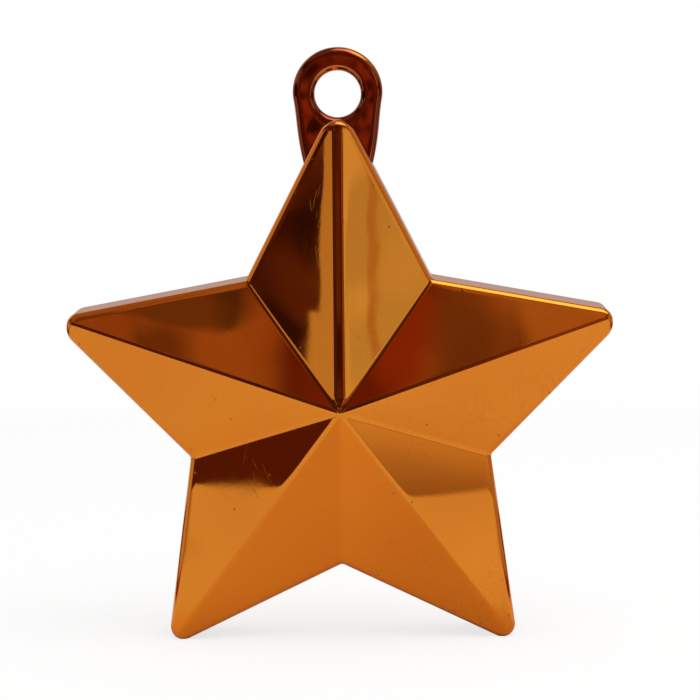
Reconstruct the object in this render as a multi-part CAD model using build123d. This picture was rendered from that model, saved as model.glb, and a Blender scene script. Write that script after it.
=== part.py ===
"""Star-shaped balloon weight: a faceted hollow star standing on two tips, with a hang eye on its back cover.

Frame: x to the right, y to the back, z up. The floor is z = 0 and the depth is centred on y = 0.
Every length is in millimetres. "Forward" is the distance in front of the flat back face.
"Inset" is how far an outline lies inside the star's outline at the front rim.
"""
from build123d import *
import math
import os

# Star outline, seen from the front
ARM_COUNT = 5
TIP_CORNER_RADIUS = 57.0
NOTCH_RADIUS = 30.0
TIP_ROUND = 2.4
NOTCH_ROUND = 1.0
INNER_CORNER_ROUND = 0.3

# Star body, from back to front
WALL_DEPTH = 14.0
PEAK_RISE = 9.5
DRAFT_FLARE = 0.25
RIM_BEVEL = 0.8
RIDGE_FLAT = 1.2
SHELL_WALL = 2.0
FOOT_CUT = 0.4

# Back cover: a thick border, a thinner plate and a rib that locates it in the shell
COVER_BORDER = 3.4
COVER_PLATE = 2.0
SEAM_CLEARANCE = 0.1
RIB_HEIGHT = 2.5
RIB_WALL = 1.2

# Hang eye at the top of the back cover
EYE_HOLE_RADIUS = 4.45
EYE_RING_WIDTH = 4.25
EYE_HEAD_LIFT = 0.35
EYE_STEP = 0.2
EYE_EDGE_ROUND = 1.0
EYE_HOLE_ROUND = 0.5
EYE_TIP_GAP = 0.1
EYE_ROOT_DROP = 20.0
EYE_ROOT_WIDTH = 9.0

# Adhesive bead between the shell and the back cover
BEAD_WIDTH = 0.6
BEAD_DEPTH = 0.5

# Filling hole and its plug
FILL_HOLE_RADIUS = 7.0
PLUG_HEAD_OVERHANG = 2.0
PLUG_HEAD_THICKNESS = 1.0
PLUG_STEM_LENGTH = 5.0
PLUG_WALL = 1.2
PLUG_SNAP_RISE = 0.25
PLUG_SNAP_LENGTH = 1.0
PLUG_CLEARANCE = 0.1
PLUG_DISH_DEPTH = 0.3
PLUG_DISH_MARGIN = 2.5
FILL_GAP = 0.3

# How far a cutting shape runs past the surface it opens
CUT_OVERRUN = 1.0

# Angles and sizes that follow from the star
HALF_PITCH = math.pi / ARM_COUNT
TIP_HALF_ANGLE = math.atan2(
    NOTCH_RADIUS * math.sin(HALF_PITCH),
    TIP_CORNER_RADIUS - NOTCH_RADIUS * math.cos(HALF_PITCH),
)
NOTCH_ANGLE = HALF_PITCH + TIP_HALF_ANGLE
EDGE_DISTANCE = TIP_CORNER_RADIUS * math.sin(TIP_HALF_ANGLE)
FACET_SLOPE = math.atan2(PEAK_RISE, EDGE_DISTANCE)
RIDGE_SLOPE = math.atan2(PEAK_RISE, TIP_CORNER_RADIUS)
TIP_ARC_RADIUS = TIP_CORNER_RADIUS - TIP_ROUND / math.sin(TIP_HALF_ANGLE)
TIP_END_RADIUS = TIP_ARC_RADIUS + TIP_ROUND
DRAFT_SHARE = DRAFT_FLARE / WALL_DEPTH
DRAFT_ANGLE = math.degrees(math.atan(DRAFT_SHARE))

# Depth of the flat that blunts each ridge, and the body depth it leaves
RIDGE_HALF_FOLD = math.acos(
    math.sin(TIP_HALF_ANGLE) * math.sin(FACET_SLOPE) * math.sin(RIDGE_SLOPE)
    + math.cos(FACET_SLOPE) * math.cos(RIDGE_SLOPE)
)
RIDGE_CUT = RIDGE_FLAT / 2 * math.tan(RIDGE_HALF_FOLD)
PEAK_FORWARD = WALL_DEPTH + PEAK_RISE
BODY_DEPTH = PEAK_FORWARD - RIDGE_CUT / math.cos(RIDGE_SLOPE)

# Where the star's centre and its back face lie in the frame
BACK_Y = BODY_DEPTH / 2
STAR_Z = TIP_ARC_RADIUS * math.cos(HALF_PITCH) + TIP_ROUND + DRAFT_FLARE - FOOT_CUT

# Hang eye, with heights above the star's centre
EYE_THICKNESS = COVER_BORDER - 2 * EYE_STEP
EYE_OUTER_RADIUS = EYE_HOLE_RADIUS + EYE_RING_WIDTH
EYE_RISE = TIP_END_RADIUS + DRAFT_FLARE + EYE_TIP_GAP + EYE_HOLE_RADIUS
EYE_HEAD_RISE = EYE_RISE + EYE_HEAD_LIFT
EYE_ROOT_RISE = EYE_HEAD_RISE - EYE_ROOT_DROP

# Outlines and levels that fit inside each other
RIB_INSET = SHELL_WALL + SEAM_CLEARANCE
RIB_INNER_INSET = RIB_INSET + RIB_WALL
RIB_TOP = COVER_BORDER + RIB_HEIGHT
BEAD_INSET = (SHELL_WALL - BEAD_WIDTH) / 2
BEAD_TOP = COVER_BORDER + BEAD_DEPTH
CAVITY_SETBACK = SHELL_WALL / math.cos(FACET_SLOPE)
PLUG_STEM_RADIUS = FILL_HOLE_RADIUS - PLUG_CLEARANCE
PLUG_HEAD_RADIUS = FILL_HOLE_RADIUS + PLUG_HEAD_OVERHANG
PLUG_SNAP_RADIUS = FILL_HOLE_RADIUS + PLUG_SNAP_RISE
PLUG_END = PLUG_HEAD_THICKNESS + PLUG_STEM_LENGTH

UPRIGHT = (Align.CENTER, Align.CENTER, Align.MIN)


def level(forward):
    """Plane parallel to the back face; its local axes are x to the right, y up and z to the front."""
    return Plane(origin=(0, BACK_Y - forward, STAR_Z), x_dir=(1, 0, 0), z_dir=(0, -1, 0))


def star_corners(tip_radius, notch_radius):
    """Corner points of a star, from the top tip on, tips and notches in turn."""
    corners = []
    for index in range(2 * ARM_COUNT):
        radius = notch_radius if index % 2 else tip_radius
        angle = math.pi / 2 + index * HALF_PITCH
        corners.append((radius * math.cos(angle), radius * math.sin(angle)))
    return corners


def star_face(inset):
    """Star with rounded tips and notches whose edges all lie the inset inside the front rim's outline."""
    tip_radius = TIP_CORNER_RADIUS - inset / math.sin(TIP_HALF_ANGLE)
    notch_radius = NOTCH_RADIUS - inset / math.sin(NOTCH_ANGLE)
    tip_round = max(TIP_ROUND - inset, INNER_CORNER_ROUND)
    notch_round = max(NOTCH_ROUND + inset, INNER_CORNER_ROUND)
    rounds = [tip_round, notch_round] * ARM_COUNT
    outline = FilletPolyline(*star_corners(tip_radius, notch_radius), radius=rounds, close=True)
    return make_face(outline)


def draft_inset(forward):
    """Extra inset of a drafted wall at a distance in front of the back face."""
    return DRAFT_SHARE * (forward - WALL_DEPTH)


def star_block(inset, start, end):
    """Star prism between two forward distances, with the body's draft on its walls."""
    face = star_face(inset + draft_inset(start))
    return extrude(level(start) * face, amount=end - start, taper=DRAFT_ANGLE)


def star_ring(inset, width, start, end):
    """Star-shaped band of one width between two forward distances."""
    return star_block(inset, start, end) - star_block(inset + width, start, end)


def facet_pyramid(setback):
    """Ten-sided star pyramid whose facets lie the setback behind those of the outer body."""
    apex_forward = PEAK_FORWARD - setback
    base_plane = level(-CUT_OVERRUN)
    growth = (apex_forward + CUT_OVERRUN) / PEAK_RISE
    outline = star_corners(TIP_CORNER_RADIUS * growth, NOTCH_RADIUS * growth)
    corners = [base_plane.from_local_coords(corner) for corner in outline]
    apex = level(apex_forward).origin
    faces = [Face(Wire.make_polygon(corners))]
    for index, corner in enumerate(corners):
        faces.append(Face(Wire.make_polygon([corners[index - 1], corner, apex])))
    return Solid(Shell(faces))


def ridge_cutter(arm):
    """Block whose lower face blunts the ridge of one arm."""
    angle = math.pi / 2 + 2 * arm * HALF_PITCH
    radial = Vector(math.cos(angle), 0, math.sin(angle))
    forward = Vector(0, -1, 0)
    along = radial * math.cos(RIDGE_SLOPE) - forward * math.sin(RIDGE_SLOPE)
    normal = radial * math.sin(RIDGE_SLOPE) + forward * math.cos(RIDGE_SLOPE)
    origin = level(PEAK_FORWARD).origin - normal * RIDGE_CUT
    span = 2 * TIP_CORNER_RADIUS
    return Plane(origin=origin, x_dir=along, z_dir=normal) * Box(span, span, PEAK_FORWARD, align=UPRIGHT)


def outer_body():
    """Solid star in front of the cover: drafted walls, a bevelled rim and ten facets with blunt ridges."""
    bevel_start = WALL_DEPTH - RIM_BEVEL
    bevel_end = WALL_DEPTH + RIM_BEVEL
    wall = star_block(0, COVER_BORDER, bevel_start)
    bevel_face = level(bevel_start) * star_face(draft_inset(bevel_start))
    bevel = extrude(bevel_face, amount=bevel_end - bevel_start, taper=math.degrees(math.pi / 4))
    nose = star_block(2 * RIM_BEVEL, bevel_end, PEAK_FORWARD + CUT_OVERRUN)
    body = (wall + bevel + nose) & facet_pyramid(0)
    for arm in range(ARM_COUNT):
        body -= ridge_cutter(arm)
    return body


def below_floor():
    """Block under the floor that trims the two lower tips to flat feet."""
    below = (Align.CENTER, Align.CENTER, Align.MAX)
    return Box(2 * TIP_CORNER_RADIUS, 2 * BODY_DEPTH, STAR_Z, align=below)


def eye_face(growth):
    """Outline of the hang eye: a round head with straight sides that close in to a narrow root.

    The growth moves the whole outline outward, for the room left around it.
    """
    radius = EYE_OUTER_RADIUS + growth
    half_root = EYE_ROOT_WIDTH / 2 + growth
    root_rise = EYE_ROOT_RISE - growth
    drop = EYE_HEAD_RISE - root_rise
    touch = math.acos(radius / math.hypot(half_root, drop)) + math.atan2(half_root, drop)
    touch_x = radius * math.sin(touch)
    touch_y = EYE_HEAD_RISE - radius * math.cos(touch)
    sides = [
        Line((-half_root, root_rise), (half_root, root_rise)),
        Line((half_root, root_rise), (touch_x, touch_y)),
        ThreePointArc((touch_x, touch_y), (0, EYE_HEAD_RISE + radius), (-touch_x, touch_y)),
        Line((-touch_x, touch_y), (-half_root, root_rise)),
    ]
    return make_face(sides)


def eye_block(growth):
    """Block in the outline of the hang eye, grown by one amount on every side."""
    return extrude(level(EYE_STEP - growth) * eye_face(growth), amount=EYE_THICKNESS + 2 * growth)


def hang_eye():
    """Eye tab with rounded edges and a round hole, which sits a little below the middle of its head."""
    tab = eye_block(0)
    tab = fillet(tab.faces().filter_by(Axis.Y).edges(), min(EYE_EDGE_ROUND, EYE_THICKNESS / 3))
    hole_place = level(EYE_STEP) * Pos(0, EYE_RISE, 0)
    tab -= hole_place * Cylinder(EYE_HOLE_RADIUS, 2 * EYE_THICKNESS)
    hole_edges = [edge for edge in tab.edges().filter_by(GeomType.CIRCLE)
                  if math.isclose(edge.radius, EYE_HOLE_RADIUS)]
    return fillet(hole_edges, min(EYE_HOLE_ROUND, EYE_THICKNESS / 3))


def disc(radius, start, end):
    """Round block on the star's axis between two forward distances."""
    return level(start) * Cylinder(radius, end - start, align=UPRIGHT)


def make_front_shell():
    """Hollow star with a groove for the adhesive in its rear edge and two flat feet."""
    cavity = star_block(SHELL_WALL, 0, PEAK_FORWARD) & facet_pyramid(CAVITY_SETBACK)
    groove = star_ring(BEAD_INSET, BEAD_WIDTH, 0, BEAD_TOP)
    return outer_body() - cavity - groove - below_floor()


def make_back_cover():
    """Star plate with a thick border, a locating rib, the hang eye and a stepped filling hole."""
    border = star_block(0, 0, COVER_BORDER)
    rib = star_ring(RIB_INSET, RIB_WALL, COVER_BORDER, RIB_TOP)
    core = star_block(RIB_INNER_INSET, COVER_PLATE, RIB_TOP)
    hole = disc(FILL_HOLE_RADIUS, -CUT_OVERRUN, COVER_PLATE + CUT_OVERRUN)
    recess = disc(PLUG_HEAD_RADIUS + PLUG_CLEARANCE, -CUT_OVERRUN, PLUG_HEAD_THICKNESS)
    return border + rib - core + hang_eye() - hole - recess - below_floor()


def make_fill_plug():
    """Push-in plug with a dished head, a hollow stem and a snap ring behind the cover."""
    head = disc(PLUG_HEAD_RADIUS, 0, PLUG_HEAD_THICKNESS)
    stem = disc(PLUG_STEM_RADIUS, PLUG_HEAD_THICKNESS, PLUG_END)
    bore = disc(PLUG_STEM_RADIUS - PLUG_WALL, PLUG_HEAD_THICKNESS, PLUG_END)
    snap_ring = Cone(PLUG_SNAP_RADIUS, PLUG_STEM_RADIUS, PLUG_SNAP_LENGTH, align=UPRIGHT)
    snap = level(COVER_PLATE + PLUG_CLEARANCE) * snap_ring
    dish = disc(PLUG_HEAD_RADIUS - PLUG_DISH_MARGIN, -CUT_OVERRUN, PLUG_DISH_DEPTH)
    return head + stem + snap - bore - dish


def make_sand_ballast():
    """Fill that takes up the room inside the shell and the back cover, around the plug and the eye's root."""
    front = star_block(SHELL_WALL, RIB_TOP, PEAK_FORWARD) & facet_pyramid(CAVITY_SETBACK)
    rear = star_block(RIB_INNER_INSET, COVER_PLATE, RIB_TOP)
    plug_room = disc(PLUG_SNAP_RADIUS + FILL_GAP, 0, PLUG_END + FILL_GAP)
    return front + rear - plug_room - eye_block(FILL_GAP)


def make_seam_adhesive():
    """Bead that fills the groove in the shell's rear edge."""
    return star_ring(BEAD_INSET, BEAD_WIDTH, COVER_BORDER, BEAD_TOP)


os.makedirs("parts", exist_ok=True)
export_step(make_front_shell(), "parts/front_shell.step")
export_step(make_back_cover(), "parts/back_cover.step")
export_step(make_fill_plug(), "parts/fill_plug.step")
export_step(make_sand_ballast(), "parts/sand_ballast.step")
export_step(make_seam_adhesive(), "parts/seam_adhesive.step")
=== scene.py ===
"""Looks of a star-shaped balloon weight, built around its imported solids.

Sizes in the classes are millimetres in the part's own frame: x to the right, y to the back, z up.
"Forward" is the distance in front of the flat back face. "Inset" is how far a line lies inside the
star's outline at the front rim. A "place" is a complex number, x to the right plus i times the height
above the star's centre. Meshes are written in metres.
"""
from __future__ import annotations

import logging
import math
from dataclasses import dataclass
from enum import Enum
from typing import Any, Mapping, Optional, Sequence, Union

import bpy
import numpy as np
from mathutils import Matrix, Vector


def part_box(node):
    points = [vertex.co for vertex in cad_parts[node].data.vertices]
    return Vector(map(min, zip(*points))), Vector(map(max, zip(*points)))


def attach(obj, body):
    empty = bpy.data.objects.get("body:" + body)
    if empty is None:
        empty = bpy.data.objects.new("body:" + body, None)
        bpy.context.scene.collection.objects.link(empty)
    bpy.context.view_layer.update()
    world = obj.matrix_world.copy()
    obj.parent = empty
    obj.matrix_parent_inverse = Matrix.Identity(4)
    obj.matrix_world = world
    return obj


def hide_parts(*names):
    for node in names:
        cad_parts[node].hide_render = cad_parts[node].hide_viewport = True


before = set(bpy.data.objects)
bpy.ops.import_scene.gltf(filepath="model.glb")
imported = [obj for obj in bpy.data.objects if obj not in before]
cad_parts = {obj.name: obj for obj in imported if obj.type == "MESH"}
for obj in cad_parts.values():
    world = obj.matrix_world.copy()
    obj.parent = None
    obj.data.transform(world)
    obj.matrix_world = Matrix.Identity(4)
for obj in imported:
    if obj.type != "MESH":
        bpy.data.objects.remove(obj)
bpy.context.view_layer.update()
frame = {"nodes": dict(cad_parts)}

MM_PER_M = 1000.0
IMAGE_WIDTH_PX = 700.0
SENSOR_WIDTH = 36.0
WEAR = "wear"
# Mesh attribute of painted shade on the eye's rounded edges, from 0 to 1.
EDGE_SHADE = "edge_shade"
WALL_DEPTH = 14.0
DRAFT_SHARE = 0.05 / WALL_DEPTH
SEAM_ROUND = 0.3
EDGE_ROWS = 6
RIGHT_ANGLE = math.pi / 2.0

Array = np.ndarray
Object = bpy.types.Object
Material = bpy.types.Material
Socket = bpy.types.NodeSocket
Colour = tuple[float, float, float]
Triple = tuple[float, float, float]
Span = tuple[float, float]
Given = Union["Value", Socket, float, Sequence[float]]
Settings = Optional[Mapping[str, Any]]
Inputs = Optional[Mapping[Union[str, int], Given]]
WHITE: Colour = (1.0, 1.0, 1.0)
log = logging.getLogger("balloon_weight")


class Slot(Enum):
    """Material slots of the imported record."""

    METALLISED_ORANGE = "metallised_orange"
    PLUG_PLASTIC = "plug_plastic"
    DRY_SAND = "dry_sand"
    CLEAR_ADHESIVE = "clear_adhesive"


def opaque(colour: Colour) -> tuple[float, float, float, float]:
    """Returns a colour with full alpha, as a colour socket takes it."""
    return (*colour, 1.0)


def eased(steps: int, crowding: float) -> Array:
    """Shares from 0 to 1 that crowd towards both ends.

    The share is x less the crowding times sin(2 pi x) / (2 pi), with x in even steps.

    Args:
        steps: Number of shares.
        crowding: 0 for even steps, up to 1 for the strongest crowding.

    Returns:
        Array of shares.
    """
    even = np.linspace(0.0, 1.0, steps)
    return even - crowding * np.sin(2.0 * np.pi * even) / (2.0 * np.pi)


def quarter(size: float, rows: int = EDGE_ROWS) -> tuple[Array, Array]:
    """Columns of size (1 - cos t) and size (1 - sin t) along a quarter round, t from 0 to a right angle."""
    turn = np.linspace(0.0, RIGHT_ANGLE, rows)[:, None]
    return size * (1.0 - np.cos(turn)), size * (1.0 - np.sin(turn))


def placed(name: str, data: bpy.types.ID) -> Object:
    """Makes an object of a mesh, a lamp or a camera, and links it into the scene."""
    made = bpy.data.objects.new(name, data)
    bpy.context.scene.collection.objects.link(made)
    return made


# Meshes


@dataclass
class ClosedGrid:
    """Grid of points over two parameters whose columns close round.

    Attributes:
        points: Array of rows, columns and three coordinates, in millimetres.
        amounts: For each attribute of the mesh, an amount from 0 to 1 at every point.
        poles: The two points that close the first and the last row, or none where these rows are joined.
    """

    points: Array
    amounts: Mapping[str, Array]
    poles: Array

    def vertices(self) -> Array:
        """Returns all points as one list, the poles last."""
        return np.concatenate([self.points.reshape(-1, 3), self.poles])

    def faces(self) -> tuple[Array, Array]:
        """Joins neighbouring points to quads, and the end rows to their poles by triangles.

        The faces are turned over as one where the volume that they enclose comes out negative.

        Returns:
            Quads and triangles as arrays of vertex numbers.
        """
        rows, columns = self.points.shape[:2]
        row = np.arange(rows - 1 if len(self.poles) else rows)[:, None]
        column = np.arange(columns)
        after = (column + 1) % columns
        here, above = row * columns, (row + 1) % rows * columns
        corners = [here + column, here + after, above + after, above + column]
        quads = np.stack(corners, axis=-1).reshape(-1, 4)
        last = (rows - 1) * columns
        poles = rows * columns + np.arange(len(self.poles))
        rims = ((after, column), (last + column, last + after))
        fans = [np.stack([np.full(columns, pole), *rim], axis=-1) for pole, rim in zip(poles, rims)]
        triangles = np.concatenate([np.zeros((0, 3), int), *fans])
        every = np.concatenate([quads[:, :3], quads[:, [0, 2, 3]], triangles])
        a, b, c = np.moveaxis(self.vertices()[every], 1, 0)
        if np.einsum("ij,ij->", a, np.cross(b, c)) < 0.0:
            return quads[:, ::-1], triangles[:, ::-1]
        return quads, triangles


def write_piece(name: str, grid: ClosedGrid) -> Object:
    """Writes a closed grid into a smooth mesh object at the origin, with its amounts as attributes.

    Args:
        name: Name of the piece.
        grid: Surface of the piece.

    Returns:
        The new object.
    """
    vertices = grid.vertices() / MM_PER_M
    quads, triangles = grid.faces()
    corners = np.concatenate([quads.ravel(), triangles.ravel()])
    starts = np.concatenate([4 * np.arange(len(quads)), quads.size + 3 * np.arange(len(triangles))])
    mesh = bpy.data.meshes.new(name)
    mesh.vertices.add(len(vertices))
    mesh.vertices.foreach_set("co", vertices.astype(np.float32).ravel())
    mesh.loops.add(len(corners))
    mesh.loops.foreach_set("vertex_index", corners.astype(np.int32))
    mesh.polygons.add(len(starts))
    mesh.polygons.foreach_set("loop_start", starts.astype(np.int32))
    mesh.polygons.foreach_set("use_smooth", np.ones(len(starts), bool))
    mesh.update(calc_edges=True)
    mesh.validate()
    for attribute, amounts in grid.amounts.items():
        every = np.zeros(len(vertices), np.float32)
        every[: amounts.size] = amounts.ravel()
        mesh.attributes.new(attribute, "FLOAT", "POINT").data.foreach_set("value", every)
    return placed(name, mesh)


# Shader building


@dataclass(frozen=True)
class Value:
    """A number on a shader socket. Python operators on it add Math nodes."""

    graph: "Graph"
    socket: Socket

    def __add__(self, other: Given) -> Value:
        """Sum."""
        return self.graph.maths("ADD", self, other)

    __radd__ = __add__

    def __sub__(self, other: Given) -> Value:
        """Difference."""
        return self.graph.maths("SUBTRACT", self, other)

    def __rsub__(self, other: Given) -> Value:
        """Difference from a number."""
        return self.graph.maths("SUBTRACT", other, self)

    def __mul__(self, other: Given) -> Value:
        """Product."""
        return self.graph.maths("MULTIPLY", self, other)

    __rmul__ = __mul__

    def ramp(self, low: float, high: float) -> Value:
        """Rises smoothly from 0 to 1.

        Args:
            low: Value at which it is 0.
            high: Value at which it is 1, above low or below it.

        Returns:
            The ramped value.
        """
        settings = {"interpolation_type": "SMOOTHSTEP"}
        inputs = {"Value": self, "From Min": low, "From Max": high, "To Min": 0.0, "To Max": 1.0}
        return self.graph.value("ShaderNodeMapRange", settings, inputs)


class Graph:
    """Node tree of one material or of the world, with short calls that add nodes to it."""

    def __init__(self, tree: bpy.types.NodeTree) -> None:
        """Takes over a node tree and clears it."""
        self.tree = tree
        tree.nodes.clear()

    @classmethod
    def of_material(cls, name: str) -> tuple[Material, Graph]:
        """Makes a material and the graph of its nodes."""
        material = bpy.data.materials.new(name)
        material.use_nodes = True
        return material, cls(material.node_tree)

    def node(self, kind: str, settings: Settings = None, inputs: Inputs = None) -> bpy.types.Node:
        """Adds a node.

        Args:
            kind: Blender's name of the node's type.
            settings: Properties of the node, which are set first.
            inputs: Value or link of each socket, by its name or number.

        Returns:
            The new node.
        """
        made = self.tree.nodes.new(kind)
        for name, setting in (settings or {}).items():
            setattr(made, name, setting)
        for key, given in (inputs or {}).items():
            if isinstance(given, Value):
                given = given.socket
            if isinstance(given, Socket):
                self.tree.links.new(given, made.inputs[key])
            else:
                made.inputs[key].default_value = given
        return made

    def value(
        self, kind: str, settings: Settings = None, inputs: Inputs = None, output: Union[str, int] = 0
    ) -> Value:
        """Adds a node and returns the number on one of its outputs."""
        return Value(self, self.node(kind, settings, inputs).outputs[output])

    def maths(self, operation: str, *numbers: Given) -> Value:
        """Adds a Math node on values and numbers."""
        return self.value("ShaderNodeMath", {"operation": operation}, dict(enumerate(numbers)))

    def mix(self, factor: Given, first: Given, second: Given) -> Socket:
        """Blends from the first colour to the second by a factor."""
        inputs = {0: factor, 6: first, 7: second}
        return self.node("ShaderNodeMix", {"data_type": "RGBA"}, inputs).outputs[2]

    def place(self) -> Socket:
        """Returns the place on the object, in metres in the part's frame."""
        return self.node("ShaderNodeTexCoord").outputs["Object"]

    def axes(self, place: Socket) -> list[Value]:
        """Splits a place into its three numbers."""
        return [Value(self, axis) for axis in self.node("ShaderNodeSeparateXYZ", None, {0: place}).outputs]

    def noise(self, place: Socket, scale: float, detail: float = 2.0) -> Value:
        """Cloudy noise around one half, with so many waves in a metre."""
        return self.value("ShaderNodeTexNoise", None, {"Vector": place, "Scale": scale, "Detail": detail})

    def cells(self, place: Socket, scale: float) -> tuple[Value, Value]:
        """Scattered cells.

        Args:
            place: Place on the object.
            scale: Number of cells in a metre.

        Returns:
            The distance from a cell's middle, and the cell's own random number.
        """
        cells = self.node("ShaderNodeTexVoronoi", None, {"Vector": place, "Scale": scale}).outputs
        tone = self.value("ShaderNodeSeparateColor", None, {0: cells["Color"]})
        return Value(self, cells["Distance"]), tone

    def attribute(self, name: str) -> Value:
        """Reads a number that the mesh carries."""
        return self.value("ShaderNodeAttribute", {"attribute_name": name}, None, "Fac")

    def bump(self, height: Value, distance: float) -> Socket:
        """Turns a height from 0 to 1 into a normal, for a relief of that distance in metres."""
        return self.node("ShaderNodeBump", None, {"Height": height, "Distance": distance}).outputs[0]

    def glow(self, colour: Given) -> Socket:
        """A surface that shines in a colour as it is written."""
        return self.node("ShaderNodeEmission", None, {"Color": colour, "Strength": 1.0}).outputs[0]

    def blend(self, factor: Given, first: Given, second: Given) -> Socket:
        """Blends from the first shader to the second by a factor."""
        return self.node("ShaderNodeMixShader", None, {0: factor, 1: first, 2: second}).outputs[0]

    def surface(self, shader: Socket, output: str = "ShaderNodeOutputMaterial") -> None:
        """Ends the tree in a surface output."""
        self.node(output, None, {"Surface": shader})


# Finishes


@dataclass(frozen=True)
class Clouds:
    """Soft patches: noise with so many waves in a metre, ramped from 0 to 1 between two of its levels."""

    scale: float
    low: float
    high: float
    detail: float = 2.0

    def mask(self, graph: Graph, place: Socket) -> Value:
        """Returns how far a place lies inside a patch, from 0 to 1."""
        return graph.noise(place, self.scale, self.detail).ramp(self.low, self.high)


class Finish:
    """A finish that dresses a Principled surface."""

    def inputs(self, graph: Graph, place: Socket) -> dict[str, Given]:
        """Works out the surface's sockets from the place on the object."""
        raise NotImplementedError

    def material(self, name: str) -> Material:
        """Makes the material.

        Args:
            name: Name of the material.

        Returns:
            The material.
        """
        material, graph = Graph.of_material(name)
        inputs = self.inputs(graph, graph.place())
        graph.surface(graph.node("ShaderNodeBsdfPrincipled", None, inputs).outputs[0])
        return material


@dataclass(frozen=True)
class MetallisedFinish(Finish):
    """Mirror-bright orange metal film on moulded plastic, under a clear coat, with marks of handling, and
    painted shade on the eye's rounded edges.
    """

    tint: Colour = (0.635, 0.191, 0.0070)
    deep_tint: Colour = (0.605, 0.170, 0.0055)
    mark_tint: Colour = (0.545, 0.150, 0.0050)
    # Painted shade: dark red-brown laid on the eye's rounded edges in place of their bright reflections.
    edge_shade_tint: Colour = (0.20, 0.026, 0.0060)
    rubbed: Colour = (0.30, 0.09, 0.012)
    pit: Colour = (0.24, 0.065, 0.006)
    pit_strength: float = 0.85
    coat: float = 0.3
    coat_roughness: float = 0.03
    roughness: float = 0.018
    smudge_roughness: float = 0.025
    hairline_roughness: float = 0.06
    pit_roughness: float = 0.15
    nick_roughness: float = 0.2
    nick_bareness: float = 0.5
    drift: Clouds = Clouds(24.0, 0.35, 0.68)
    smudges: Clouds = Clouds(85.0, 0.50, 0.74, 5.0)
    nick_spots: Clouds = Clouds(850.0, 0.64, 0.72)
    nick_patches: Clouds = Clouds(40.0, 0.46, 0.58)
    peel_scales: Span = (620.0, 2300.0)
    fine_peel: float = 0.35
    peel_height: float = 4.0e-7
    hairline_angles: tuple[float, ...] = (0.1, -0.22, 0.45)
    hairline_stretch: Triple = (3400.0, 90.0, 150.0)
    hairline_peaks: Clouds = Clouds(1.0, 0.765, 0.83, 0.0)
    hairline_patches: Clouds = Clouds(45.0, 0.52, 0.66)
    hairline_depth: float = 0.8
    mark_scale: float = 150.0
    mark_levels: float = 13.0
    mark_edge: Span = (0.30, 0.05)
    mark_patches: Clouds = Clouds(60.0, 0.40, 0.62)
    mark_side: Span = (-0.02, 0.03)
    mark_strength: Span = (0.09, 0.33)
    pit_scale: float = 300.0
    pit_edge: Span = (0.085, 0.045)
    pit_share: Span = (0.80, 0.82)

    def hairlines(self, graph: Graph, place: Socket) -> Value:
        """Fine straight scratches: noise stretched along one direction after another, kept where it peaks.

        Args:
            graph: Graph of the material.
            place: Place on the object.

        Returns:
            Depth of the scratches from 0 to 1.
        """
        lines: Value | float = 0.0
        for angle in self.hairline_angles:
            turned = graph.node("ShaderNodeMapping", None, {"Vector": place, "Rotation": (0.0, angle, 0.0)})
            inputs = {"Vector": turned.outputs[0], "Scale": self.hairline_stretch}
            stretched = graph.node("ShaderNodeMapping", None, inputs).outputs[0]
            lines = graph.maths("MAXIMUM", lines, self.hairline_peaks.mask(graph, stretched))
        return lines * self.hairline_patches.mask(graph, place)

    def flow_marks(self, graph: Graph, place: Socket) -> Value:
        """Faint flow marks of the film: thin lines along the level curves of a slow noise, in patches.

        Most of them lie on the star's right side.

        Args:
            graph: Graph of the material.
            place: Place on the object.

        Returns:
            Strength of the marks.
        """
        level = graph.maths("PINGPONG", self.mark_levels * graph.noise(place, self.mark_scale, 1.0), 0.5)
        least, more = self.mark_strength
        strength = least + more * graph.axes(place)[0].ramp(*self.mark_side)
        return strength * level.ramp(*self.mark_edge) * self.mark_patches.mask(graph, place)

    def inputs(self, graph: Graph, place: Socket) -> dict[str, Given]:
        """Works out the film's tints, one over the other, among them the painted edge shade, and its gloss
        and relief.

        Args:
            graph: Graph of the material.
            place: Place on the object.

        Returns:
            Values and links of the surface's sockets.
        """
        smudges = self.smudges.mask(graph, place)
        hairlines = self.hairlines(graph, place)
        middle, chosen = graph.cells(place, self.pit_scale)
        pits = middle.ramp(*self.pit_edge) * chosen.ramp(*self.pit_share)
        spots = self.nick_spots.mask(graph, place) * self.nick_patches.mask(graph, place)
        nicks = graph.attribute(WEAR) * spots
        coarse, fine = (graph.noise(place, scale, 1.0) for scale in self.peel_scales)
        layers = (
            (self.drift.mask(graph, place), self.deep_tint),
            (self.flow_marks(graph, place), self.mark_tint),
            # Painted shade on the eye's edges, read from the mesh attribute.
            (graph.attribute(EDGE_SHADE), self.edge_shade_tint),
            (self.pit_strength * pits, self.pit),
            (nicks, self.rubbed),
        )
        colour = opaque(self.tint)
        for mask, tint in layers:
            colour = graph.mix(mask, colour, opaque(tint))
        roughness = self.roughness + self.smudge_roughness * smudges + self.hairline_roughness * hairlines
        relief = coarse + self.fine_peel * fine - self.hairline_depth * hairlines
        return {
            "Base Color": colour,
            "Metallic": 1.0 - self.nick_bareness * nicks,
            "Roughness": roughness + self.pit_roughness * pits + self.nick_roughness * nicks,
            "Coat Weight": self.coat,
            "Coat Roughness": self.coat_roughness,
            "Normal": graph.bump(relief, self.peel_height),
        }


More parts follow.
